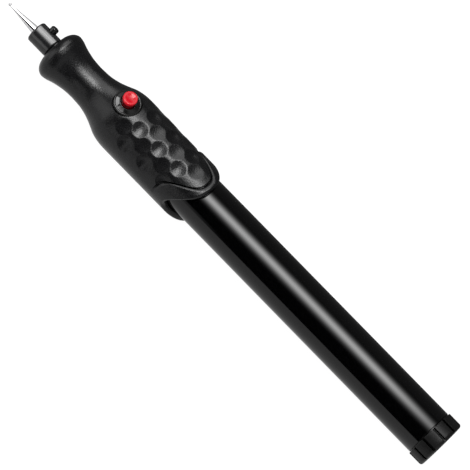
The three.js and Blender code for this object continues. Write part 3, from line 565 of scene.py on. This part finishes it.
def battery_tube():
    body = lathe("battery_tube_fine", rounded([
        (TUBE_FRONT, TUBE_INNER), (TUBE_FRONT, TUBE_RADIUS, TUBE_ROUND), (TUBE_END, TUBE_RADIUS, TUBE_ROUND),
        (TUBE_END, NECK_RADIUS), (NECK_END, NECK_RADIUS, NECK_ROUND), (NECK_END, TUBE_INNER, NECK_ROUND),
    ]), TUBE_SEGMENTS)
    return merge(body, thread(NECK_RADIUS - THREAD_SINK, NECK_RADIUS + NECK_RIB_HEIGHT))


def end_cap():
    columns = CAP_GROOVES * CAP_GROOVE_COLUMNS
    angles = np.arange(columns) / columns * FULL_TURN
    pitch = FULL_TURN / CAP_GROOVES
    off = (angles + CAP_GROOVE_PHASE + pitch / 2) % pitch - pitch / 2
    dip = CAP_GROOVE_DEPTH * (1 - smoothstep(np.abs(off) * CAP_RADIUS, *CAP_GROOVE_WALL))
    front = TUBE_END + CAP_GAP
    outer = [(front + away, CAP_RADIUS - sink) for away, sink in CAP_FRONT_EDGE]
    outer += [(at, CAP_RADIUS) for at in between(outer[-1][0], PEN_LENGTH - CAP_REAR_ROUND, CAP_SIDE_RINGS)]
    for turn in between(0, QUARTER_TURN, CAP_ROUND_RINGS):
        outer.append((PEN_LENGTH - CAP_REAR_ROUND * (1 - math.sin(turn)),
                      CAP_RADIUS - CAP_REAR_ROUND * (1 - math.cos(turn))))
    inner = [(PEN_LENGTH, radius) for radius in CAP_END_RADII]
    inner += [(CAP_INNER_END, 0), (CAP_INNER_END, CAP_BORE)]
    inner += [(front + away, CAP_BORE + out) for away, out in CAP_MOUTH_EDGE]
    rings = [pen_ring(at, np.minimum(radius, CAP_RADIUS - dip), angles) for at, radius in outer]
    rings += [pen_ring(at, radius, angles) for at, radius in inner]
    body = solid("end_cap_fine", np.concatenate(rings), grid_faces(len(rings), columns), CAP_SHARP)
    return merge(body, thread(CAP_BORE + THREAD_SINK, CAP_BORE - CAP_RIB_HEIGHT, math.pi))


# Collar and button
BEZEL_RADIUS = 4.0
BEZEL_HEIGHT = 2.24
BEZEL_PROUD = 0.55
BEZEL_SLOPE = 0.45
BEZEL_FOOT_ROUND = 0.1
# Drop from the collar's top, distance from its hole, corner radius
BEZEL_LIP = [(0, 0, 0.1), (0, 0.2, 0.1), (0.14, 0.28, 0.06)]
# Drop from the collar's rim, distance from its side, corner radius
BEZEL_RIM = [(0.12, 0.5, 0.08), (0, 0.42, 0.06), (0, 0.12, 0.12), (0.25, 0, 0.15)]

BUTTON_RADIUS = 2.05
BUTTON_PROUD = 2.6
BUTTON_ROUND = 0.4
BUTTON_RIM = 0.55
BUTTON_RIM_ROUND = 0.05
BUTTON_DISH = 0.26
DISH_POWER = 1.2
DISH_RING_SHARES = (0.97, 0.86, 0.7, 0.54, 0.32, 0.16, 0)
FLANGE_GAP = 0.3
FLANGE_HEIGHT = 0.6
FLANGE_WIDTH = 0.2
STEM_RADIUS = 0.8
STEM_LENGTH = 1.5
STEM_ROUND = 0.1
# Steps in each rounded corner of the collar and the button
ROUND_STEPS = 8

BEZEL_TOP = float(grip_base(BUTTON_AT)) + BEZEL_PROUD
BEZEL_FOOT = BEZEL_TOP - BEZEL_HEIGHT
BUTTON_TOP = BEZEL_TOP + BUTTON_PROUD


def bezel():
    inner = BUTTON_RADIUS + PLAY
    rim = BEZEL_TOP - BEZEL_SLOPE
    profile = [(BEZEL_FOOT, inner)]
    profile += [(BEZEL_TOP - drop, inner + away, corner) for drop, away, corner in BEZEL_LIP]
    profile += [(rim - drop, BEZEL_RADIUS - away, corner) for drop, away, corner in BEZEL_RIM]
    profile += [(BEZEL_FOOT, BEZEL_RADIUS, BEZEL_FOOT_ROUND)]
    return lathe("bezel_fine", rounded(profile, ROUND_STEPS), ROUND_SEGMENTS, button_ring)


def button():
    flange_top = BEZEL_FOOT - FLANGE_GAP
    flange_foot = flange_top - FLANGE_HEIGHT
    flange = BUTTON_RADIUS + FLANGE_WIDTH
    stem = flange_foot - STEM_LENGTH
    rim = BUTTON_RADIUS - BUTTON_RIM
    profile = [
        (stem, 0), (stem, STEM_RADIUS, STEM_ROUND), (flange_foot, STEM_RADIUS), (flange_foot, flange),
        (flange_top, flange), (flange_top, BUTTON_RADIUS), (BUTTON_TOP, BUTTON_RADIUS, BUTTON_ROUND),
        (BUTTON_TOP, rim, BUTTON_RIM_ROUND),
    ]
    for share in DISH_RING_SHARES:
        profile.append((BUTTON_TOP - BUTTON_DISH * (1 - share ** 2) ** DISH_POWER, rim * share))
    return lathe("button_fine", rounded(profile, ROUND_STEPS), ROUND_SEGMENTS, button_ring)


# Materials
class Web:
    """Adds linked nodes to a node tree. A value is a number, a tuple or the output of another node."""

    def __init__(self, tree):
        self.nodes = tree.nodes
        self.links = tree.links

    def feed(self, socket, value):
        if isinstance(value, bpy.types.NodeSocket):
            self.links.new(value, socket)
        else:
            socket.default_value = value

    def node(self, kind, inputs=None, **settings):
        """A new node; inputs go by name or number, and settings are the node's own properties."""
        node = self.nodes.new("ShaderNode" + kind)
        for name, value in settings.items():
            setattr(node, name, value)
        for socket, value in (inputs or {}).items():
            self.feed(node.inputs[socket], value)
        return node

    def math(self, operation, first, second):
        return self.node("Math", {0: first, 1: second}, operation=operation).outputs["Value"]

    def times(self, *values):
        return reduce(lambda first, second: self.math("MULTIPLY", first, second), values)

    def plus(self, *values):
        return reduce(lambda first, second: self.math("ADD", first, second), values)

    def scaled(self, vector, factor):
        return self.node("VectorMath", {0: vector, "Scale": factor}, operation="SCALE").outputs["Vector"]

    def span(self, value, low, high, start, stop, smoothly=True):
        """Goes from start to stop while value goes from low to high."""
        inputs = {"Value": value, "From Min": low, "From Max": high, "To Min": start, "To Max": stop}
        kind = "SMOOTHSTEP" if smoothly else "LINEAR"
        return self.node("MapRange", inputs, interpolation_type=kind).outputs["Result"]

    def bell(self, value, middle, spread, height):
        """A bell curve: height at the middle, falling off to both sides."""
        off = self.math("DIVIDE", self.math("SUBTRACT", value, middle), spread)
        return self.times(self.math("POWER", math.e, self.times(off, off, -0.5)), height)

    def noise(self, coords, scale, stretch, detail):
        vector = self.node("Mapping", {"Vector": coords, "Scale": stretch}).outputs["Vector"]
        return self.node("TexNoise", {"Vector": vector, "Scale": scale, "Detail": detail}).outputs["Fac"]

    def mix_shaders(self, share, first, second):
        return self.node("MixShader", {0: share, 1: first, 2: second}).outputs["Shader"]


# How noise is stretched: not at all, or as on turned, wound and ground metal
EVEN = (1, 1, 1)
TURNED = (1, 0.04, 0.04)
WOUND = (0.03, 1, 1)
GROUND = (0.1, 1, 1)
# The part of a noise that is spread over the full range of what it drives
NOISE_LOW = 0.3
NOISE_HIGH = 0.7
DRIFT_DETAIL = 3.0
GRAIN_DETAIL = 2.0
# Painted shade in narrow hollows: how open a hollow is when its colour and shine are fully darkened, and when
# they are not darkened at all
HOLLOW_SHUT = 0.55
HOLLOW_OPEN = 0.9


def finish(name, colour, rough, metallic=0.0, vary=0.12, scale=1500.0, bump=0.0, grain=6000.0,
           grain_stretch=EVEN, ior=1.5, specular=0.5, spread=0.1, painted_height_shade=None, painted_cavity_shade=None):
    """A procedural finish: colour and roughness drift with soft noise, and a fine grain lies in the surface.

    painted_height_shade gives two heights, between which the colour darkens downwards to a share, as painted
    shade.
    painted_cavity_shade gives the reach over which narrow hollows darken in colour and shine, as painted
    shade.
    """
    mat = bpy.data.materials.new(name)
    mat.use_nodes = True
    web = Web(mat.node_tree)
    shader = web.nodes["Principled BSDF"]
    coords = web.node("TexCoord").outputs["Object"]
    ramp = web.node("ValToRGB", {"Fac": web.noise(coords, scale, EVEN, DRIFT_DETAIL)})
    low, high = ramp.color_ramp.elements
    low.position = NOISE_LOW
    low.color = (*[c * (1 - vary) for c in colour], 1)
    high.position = NOISE_HIGH
    high.color = (*[min(1, c * (1 + vary)) for c in colour], 1)
    tint = ramp.outputs["Color"]
    shader.inputs["Specular IOR Level"].default_value = specular
    # Painted shade: the colour darkens downwards between two heights
    if painted_height_shade:
        bottom, top, share = painted_height_shade
        height = web.node("SeparateXYZ", {"Vector": coords}).outputs["Z"]
        tint = web.scaled(tint, web.span(height, bottom * MM, top * MM, share, 1.0))
    # Painted shade: colour and shine darken in narrow hollows, as the ambient occlusion node finds them
    if painted_cavity_shade:
        hollow = web.node("AmbientOcclusion", {"Distance": painted_cavity_shade * MM})
        unshaded_share = web.span(hollow.outputs["AO"], HOLLOW_SHUT, HOLLOW_OPEN, 0.0, 1.0)
        tint = web.scaled(tint, unshaded_share)
        web.feed(shader.inputs["Specular IOR Level"], web.times(unshaded_share, specular))
    web.feed(shader.inputs["Base Color"], tint)
    fine = web.noise(coords, grain, grain_stretch, GRAIN_DETAIL)
    smoothest, roughest = rough * (1 - spread), rough * (1 + spread)
    roughness = web.span(fine, NOISE_LOW, NOISE_HIGH, smoothest, roughest, smoothly=False)
    web.feed(shader.inputs["Roughness"], roughness)
    if bump:
        relief = web.node("Bump", {"Strength": 1.0, "Distance": bump * MM, "Height": fine})
        web.feed(shader.inputs["Normal"], relief.outputs["Normal"])
    shader.inputs["Metallic"].default_value = metallic
    shader.inputs["IOR"].default_value = ior
    return mat


# Painted shade: the button's red darkens from its top down to a place above its collar, standing in for the
# shadow on its side
SHADE_ABOVE_BEZEL = 1.0
SHADE_BELOW_TOP = 0.02
SHADE_SHARE = 0.1
SHADE_FOOT = AXIS_HEIGHT + BEZEL_TOP + SHADE_ABOVE_BEZEL
SHADE_TOP = AXIS_HEIGHT + BUTTON_TOP - SHADE_BELOW_TOP

# The cavity setting paints shade into the grooves of the chuck, the grip and the end cap
FINISHES = {
    "bit_steel": dict(colour=(0.85, 0.85, 0.86), rough=0.1, metallic=1.0, grain=9000.0, grain_stretch=GROUND,
                      bump=0.002),
    "black_steel": dict(colour=(0.006, 0.006, 0.0065), rough=0.2, vary=0.3, grain=5000.0,
                        grain_stretch=TURNED, bump=0.006, ior=1.8, specular=0.3, painted_cavity_shade=0.7),
    "steel": dict(colour=(0.55, 0.56, 0.58), rough=0.28, metallic=1.0, grain=5000.0, grain_stretch=TURNED),
    "aluminium": dict(colour=(0.68, 0.68, 0.7), rough=0.3, metallic=1.0, grain=5000.0, grain_stretch=TURNED),
    "brass": dict(colour=(0.66, 0.43, 0.16), rough=0.28, metallic=1.0),
    "copper": dict(colour=(0.55, 0.2, 0.07), rough=0.3, metallic=1.0, grain=3500.0, grain_stretch=WOUND,
                   bump=0.03),
    "ferrite": dict(colour=(0.05, 0.048, 0.047), rough=0.75, bump=0.01),
    "hard_plastic": dict(colour=(0.018, 0.018, 0.019), rough=0.45, bump=0.004),
    "soft_grip": dict(colour=(0.0032, 0.0032, 0.0036), rough=0.25, vary=0.3, scale=700.0, grain=2400.0,
                      bump=0.044, specular=0.42, spread=0.16, painted_cavity_shade=0.6),
    "tube_gloss": dict(colour=(0.0006, 0.0006, 0.0007), rough=0.06, vary=0.2, grain=900.0),
    "cap_satin": dict(colour=(0.0045, 0.0045, 0.0045), rough=0.4, grain=7000.0, bump=0.004, specular=0.26,
                      painted_cavity_shade=0.8),
    "bezel_gloss": dict(colour=(0.004, 0.004, 0.004), rough=0.1, grain=900.0),
    # Painted shade on the button: its red darkens towards its foot
    "button_red": dict(colour=(0.5, 0.002, 0.011), rough=0.2, vary=0.06, grain=2500.0,
                       painted_height_shade=(SHADE_FOOT, SHADE_TOP, SHADE_SHARE)),
    "cell_jacket": dict(colour=(0.33, 0.37, 0.41), rough=0.25, metallic=0.6, grain=900.0),
    "red_wire": dict(colour=(0.5, 0.012, 0.012), rough=0.4, grain=3000.0, bump=0.004),
    "black_wire": dict(colour=(0.012, 0.012, 0.012), rough=0.4, grain=3000.0, bump=0.004),
}
MATERIALS = {slot: finish(slot + "_finish", **values) for slot, values in FINISHES.items()}


# Assembly: each finer mesh, the body it rides on and the CAD node it replaces
PIECES = [
    (bit, "bit", "engraving_bit"),
    (chuck, "drive", "chuck"),
    (clamp_screw, "screw", "clamp_screw"),
    (grip_skin, "pen_body", "grip_sleeve"),
    (battery_tube, "pen_body", "battery_tube"),
    (bezel, "pen_body", "switch_bezel"),
    (button, "button", "button_cap"),
    (end_cap, "cap", "end_cap"),
]


def paint(obj, slot):
    obj.data.materials.clear()
    obj.data.materials.append(MATERIALS[slot])


def dress():
    """Puts the finer meshes in place, and paints them and the CAD nodes that stay."""
    slots = {row["node"]: row["material_slot"] for row in frame["record"]["subparts"]}
    for make, body, node in PIECES:
        slot = slots.pop(node)
        obj = make()
        paint(obj, slot)
        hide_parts(node)
        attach(obj, body)
    for node, slot in slots.items():
        paint(frame["nodes"][node], slot)


# Floor, in metres: what the camera sees of the table is mostly its own glow
FLOOR_HALF = 3.0
FLOOR_FINISH = dict(rough=0.9, vary=0.006, scale=8.0, grain=40.0, specular=0.0)
FLOOR_ALBEDO = 0.78
TABLE_GLOW = 1.1
TABLE_SHARE = 0.86
# What the table mirrors into the pen, on the near and the far side of a soft line under the pen
NEAR_TABLE = 0.6
FAR_TABLE = 0.1
TABLE_LINE_HALF = 0.004


def floor():
    """A pale glowing table; what it mirrors into the pen is set apart from what the camera sees."""
    mesh = bpy.data.meshes.new("floor")
    corners = [(-1, -1), (1, -1), (1, 1), (-1, 1)]
    mesh.from_pydata([(x * FLOOR_HALF, y * FLOOR_HALF, 0) for x, y in corners], [], [(0, 1, 2, 3)])
    obj = bpy.data.objects.new("floor", mesh)
    bpy.context.scene.collection.objects.link(obj)
    mat = finish("floor_finish", (FLOOR_ALBEDO,) * 3, **FLOOR_FINISH)
    web = Web(mat.node_tree)
    matt = web.nodes["Principled BSDF"].outputs["BSDF"]
    glow = web.node("Emission", {"Strength": TABLE_GLOW}).outputs["Emission"]
    split = web.node("SeparateXYZ", {"Vector": web.node("TexCoord").outputs["Object"]})
    brightness = web.span(split.outputs["Y"], -TABLE_LINE_HALF, TABLE_LINE_HALF, NEAR_TABLE, FAR_TABLE)
    mirrored = web.node("Emission", {"Strength": brightness}).outputs["Emission"]
    rays = web.node("LightPath").outputs
    seen = web.mix_shaders(TABLE_SHARE, matt, glow)
    shader = web.mix_shaders(rays["Is Camera Ray"], matt, seen)
    shader = web.mix_shaders(rays["Is Glossy Ray"], shader, mirrored)
    web.feed(web.nodes["Material Output"].inputs["Surface"], shader)
    mesh.materials.append(mat)


# Studio. A panel or card is set by degrees across the pen, from the top towards the far side: where it is
# and how wide, or two places and its radiance at each. A fade does the same lengthways, by the part of a
# direction that points along the pen, and holds what the panel or card is multiplied by at each place.
PANEL_AT = 1.0
PANEL_SPREAD = 11.2
PANEL_RADIANCE = 8.6
PANEL_FADES = [(0.01, 0.14, 1.0, 0.0), (-0.4, -0.3, 0.0, 1.0), (-0.35, -0.2, 1.8, 1.0)]
NEAR_CARD = (-84, -76, 0.5, 0.0)
NEAR_CARD_FADES = [(-0.2, -0.13, 1.0, 0.0), (-0.4, -0.3, 0.0, 1.0)]
LOW_CARD = (-26, -12, 1.1, 0.0)
LOW_CARD_FADE = (-0.62, -0.48, 1.0, 0.0)
FRONT_AT = 30.0
FRONT_SPREAD = 24.0
FRONT_RADIANCE = 0.8
FRONT_FADES = [(-0.6, -0.45, 1.0, 0.0), (-0.95, -0.8, 0.0, 1.0)]
REAR_CARD = (10, 50, 1.0, 0.0)
REAR_CARD_FADE = (0.25, 0.5, 0.0, 0.45)
FAR_GLOW = (25, 50, 0.0, 0.1)
FILL_RADIANCE = 0.9
NEAR_FILL = (-90, -75, 0.0, 1.0)
NEAR_FILL_FADE = (-50, -25, 1.0, 0.0)
WHITE = (1, 1, 1, 1)
WALL = (0.9, 0.9, 0.9, 1)


def studio():
    """Dark surroundings with a long soft panel overhead and a few dim cards, which the pen mirrors.

    Matt light comes from an even fill instead, and the camera itself sees a pale wall.
    """
    world = bpy.data.worlds.new("studio")
    bpy.context.scene.world = world
    world.use_nodes = True
    web = Web(world.node_tree)
    web.nodes.clear()
    split = web.node("SeparateXYZ", {"Vector": web.node("TexCoord").outputs["Generated"]}).outputs
    across = web.math("MULTIPLY", web.math("ARCTAN2", split["Y"], split["Z"]), 180 / math.pi)

    def over(fade):
        return web.span(across, *fade)

    def along(*fades):
        return [web.span(split["X"], *fade) for fade in fades]

    mirrored = web.plus(
        web.times(web.bell(across, PANEL_AT, PANEL_SPREAD, PANEL_RADIANCE), *along(*PANEL_FADES)),
        web.times(over(NEAR_CARD), *along(*NEAR_CARD_FADES)),
        web.times(over(LOW_CARD), *along(LOW_CARD_FADE)),
        web.times(web.bell(across, FRONT_AT, FRONT_SPREAD, FRONT_RADIANCE), *along(*FRONT_FADES)),
        web.times(over(REAR_CARD), *along(REAR_CARD_FADE)),
        over(FAR_GLOW),
    )
    fill = web.plus(web.times(over(NEAR_FILL), over(NEAR_FILL_FADE)), FILL_RADIANCE)
    rays = web.node("LightPath").outputs
    strength = web.node("Mix", {"Factor": rays["Is Diffuse Ray"], "A": mirrored, "B": fill}).outputs["Result"]
    glow = web.node("Background", {"Color": WHITE, "Strength": strength}).outputs["Background"]
    wall = web.node("Background", {"Color": WALL}).outputs["Background"]
    web.node("OutputWorld", {"Surface": web.mix_shaders(rays["Is Camera Ray"], glow, wall)})


# Metres, as are the strips' lengths and widths
STRIP_DISTANCE = 0.5
# Degrees across the pen, slope along it, length, width, radiance, piece
STRIPS = {
    "grip_strip": (32, -0.58, 0.4, 0.29, 1.8, "grip_skin"),
    "waist_strip": (1, -0.5, 0.24, 0.1, 5.0, "grip_skin"),
    "collar_strip": (4, -0.55, 0.42, 0.24, 7.0, "bezel_fine"),
    "low_strip": (-70, -0.26, 0.15, 0.24, 0.7, "grip_skin"),
    "bit_strip": (52, -0.45, 0.9, 0.56, 0.75, "engraving_bit_fine"),
    "bit_near_strip": (-88, -0.45, 0.9, 0.09, 0.9, "engraving_bit_fine"),
    "button_strip": (28, -0.14, 0.9, 0.14, 0.9, "button_fine"),
    "chuck_near_strip": (-80, -0.2, 0.9, 0.28, 1.0, "chuck_fine"),
    "chuck_strip": (29, -0.2, 0.9, 0.33, 7.2, "chuck_fine"),
}


def strip(name, across, lengthways, length, width, radiance, piece):
    """A long soft strip light that faces the pen and lights one piece only."""
    data = bpy.data.lights.new(name, "AREA")
    data.shape = "RECTANGLE"
    data.size = length
    data.size_y = width
    data.energy = radiance * math.pi * length * width
    obj = bpy.data.objects.new(name, data)
    bpy.context.scene.collection.objects.link(obj)
    turn = math.radians(across)
    away = Vector((lengthways, math.sin(turn), math.cos(turn))).normalized()
    sideways = away.cross(Vector((1, 0, 0))).normalized()
    facing = Matrix((sideways.cross(away), sideways, away)).transposed().to_4x4()
    obj.matrix_world = Matrix.Translation(away * STRIP_DISTANCE) @ facing
    lit = bpy.data.collections.new(name + "_lit")
    lit.objects.link(bpy.data.objects[piece])
    obj.light_linking.receiver_collection = lit


# Camera: how it leans towards the near side and towards the cap, and how the pen lies on the image
VIEW_LEAN = math.radians(28)
VIEW_TILT = math.radians(6)
AXIS_ON_IMAGE = math.radians(45.65)
IMAGE_PIXELS = 470
PIXEL = 0.2735 * MM
# The image's middle from the pen's own, in pixels to the right and upwards
AIM_RIGHT = 11.7
AIM_UP = -12.4
# Metres, and the sensor's width in the millimetres that Blender takes for it
CAMERA_DISTANCE = 1.0
CLIP_NEAR = 0.01
CLIP_FAR = 20
SENSOR_WIDTH = 36


def camera():
    along = Vector((1, 0, 0))
    leant = Vector((0, -math.sin(VIEW_LEAN), math.cos(VIEW_LEAN)))
    towards = (math.sin(VIEW_TILT) * along + math.cos(VIEW_TILT) * leant).normalized()
    flat = (along - towards * along.dot(towards)).normalized()
    side = towards.cross(flat)
    right = math.cos(AXIS_ON_IMAGE) * flat + math.sin(AXIS_ON_IMAGE) * side
    up = -math.sin(AXIS_ON_IMAGE) * flat + math.cos(AXIS_ON_IMAGE) * side
    middle = Vector((0, 0, AXIS_HEIGHT * MM))
    aim = middle + right * AIM_RIGHT * PIXEL + up * AIM_UP * PIXEL
    data = bpy.data.cameras.new("camera")
    data.sensor_width = SENSOR_WIDTH
    data.lens = SENSOR_WIDTH / (IMAGE_PIXELS * PIXEL) * CAMERA_DISTANCE
    data.clip_start = CLIP_NEAR
    data.clip_end = CLIP_FAR
    obj = bpy.data.objects.new("camera", data)
    bpy.context.scene.collection.objects.link(obj)
    turn = Matrix((right, up, towards)).transposed().to_4x4()
    obj.matrix_world = Matrix.Translation(aim + towards * CAMERA_DISTANCE) @ turn
    bpy.context.scene.camera = obj


dress()
floor()
studio()
for name, values in STRIPS.items():
    strip(name, *values)
camera()
bpy.context.scene.view_settings.view_transform = "Standard"
